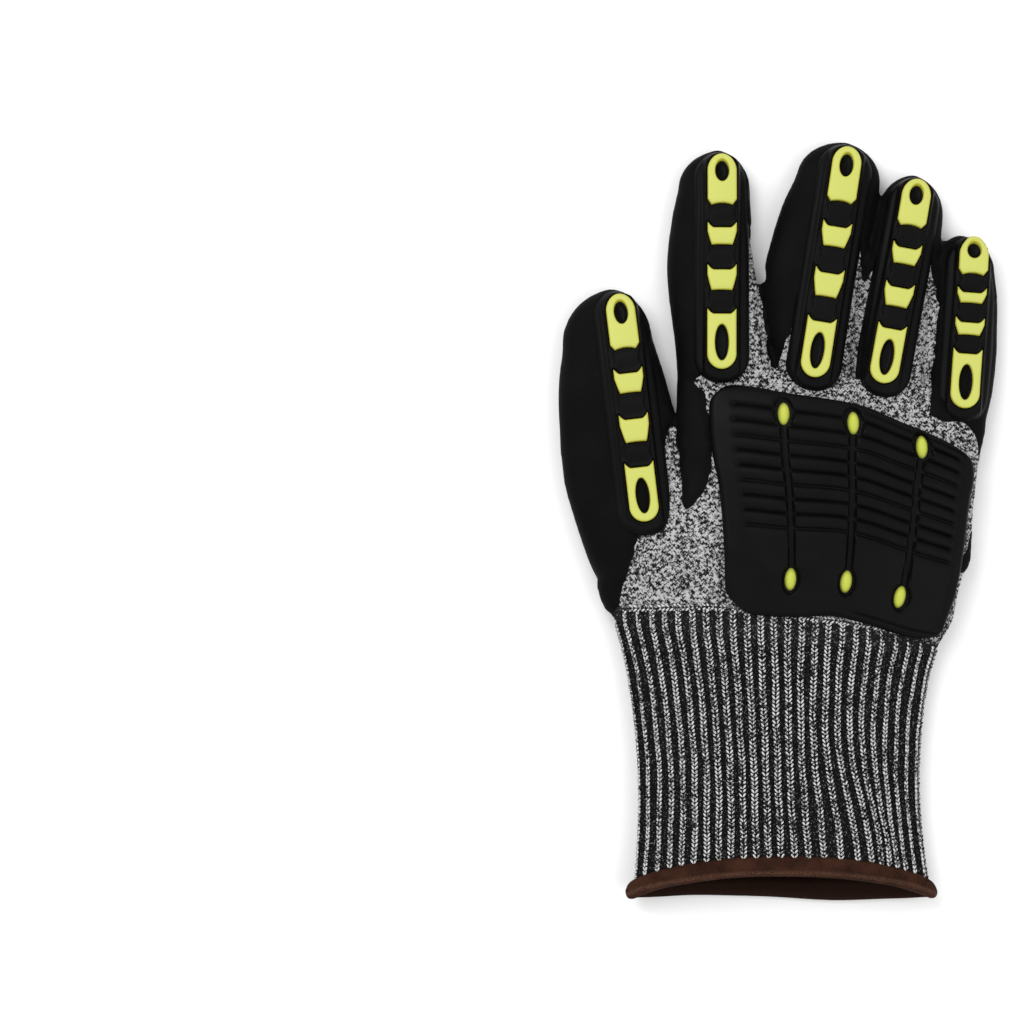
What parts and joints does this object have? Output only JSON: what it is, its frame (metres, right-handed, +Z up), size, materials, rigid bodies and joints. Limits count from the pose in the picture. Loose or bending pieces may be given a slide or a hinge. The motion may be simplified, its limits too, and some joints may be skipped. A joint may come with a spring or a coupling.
{
  "type": "impact resistant work glove",
  "caption": "Right-hand knitted work glove with a ribbed cuff and bound hem, dipped palm, moulded impact guards with bright inserts on the fingers, and a grooved knuckle guard.",
  "frame": {"origin": "middle of the resting face, at the floor, with the glove lying palm down", "axes": "+Y from the cuff towards the fingertips, +X towards the little finger, +Z up out of the back of the hand"},
  "size_m": [0.152, 0.2616, 0.0234],
  "materials": {
    "knit": "matt, marled light grey and black knit",
    "rib_knit": "matt, grey and black knitted ribs",
    "hem_binding": "matt dark brown overlocked yarn",
    "palm_coating": "matt with a slight grain",
    "guard_rubber": "smooth satin",
    "bright_rubber": "smooth satin, bright yellow green",
    "stud_rubber": "smooth satin, yellow green"
  },
  "bodies": {
    "root": {"knit_fingers": "knit", "knit_thumb": "knit", "knit_palm": "knit", "rib_cuff": "rib_knit", "cuff_hem": "hem_binding", "palm_coating": "palm_coating", "thumb_guard": "guard_rubber", "thumb_insert_base": "bright_rubber", "thumb_insert_lower": "bright_rubber", "thumb_insert_upper": "bright_rubber", "thumb_insert_tip": "bright_rubber", "index_guard": "guard_rubber", "index_insert_base": "bright_rubber", "index_insert_lower": "bright_rubber", "index_insert_upper": "bright_rubber", "index_insert_tip": "bright_rubber", "middle_guard": "guard_rubber", "middle_insert_base": "bright_rubber", "middle_insert_lower": "bright_rubber", "middle_insert_upper": "bright_rubber", "middle_insert_tip": "bright_rubber", "ring_guard": "guard_rubber", "ring_insert_base": "bright_rubber", "ring_insert_lower": "bright_rubber", "ring_insert_upper": "bright_rubber", "ring_insert_tip": "bright_rubber", "little_guard": "guard_rubber", "little_insert_base": "bright_rubber", "little_insert_lower": "bright_rubber", "little_insert_upper": "bright_rubber", "little_insert_tip": "bright_rubber", "stud_upper_1": "stud_rubber", "stud_lower_1": "stud_rubber", "stud_upper_2": "stud_rubber", "stud_lower_2": "stud_rubber", "stud_upper_3": "stud_rubber", "stud_lower_3": "stud_rubber", "hand_guard": "guard_rubber"}
  },
  "joints": []
}
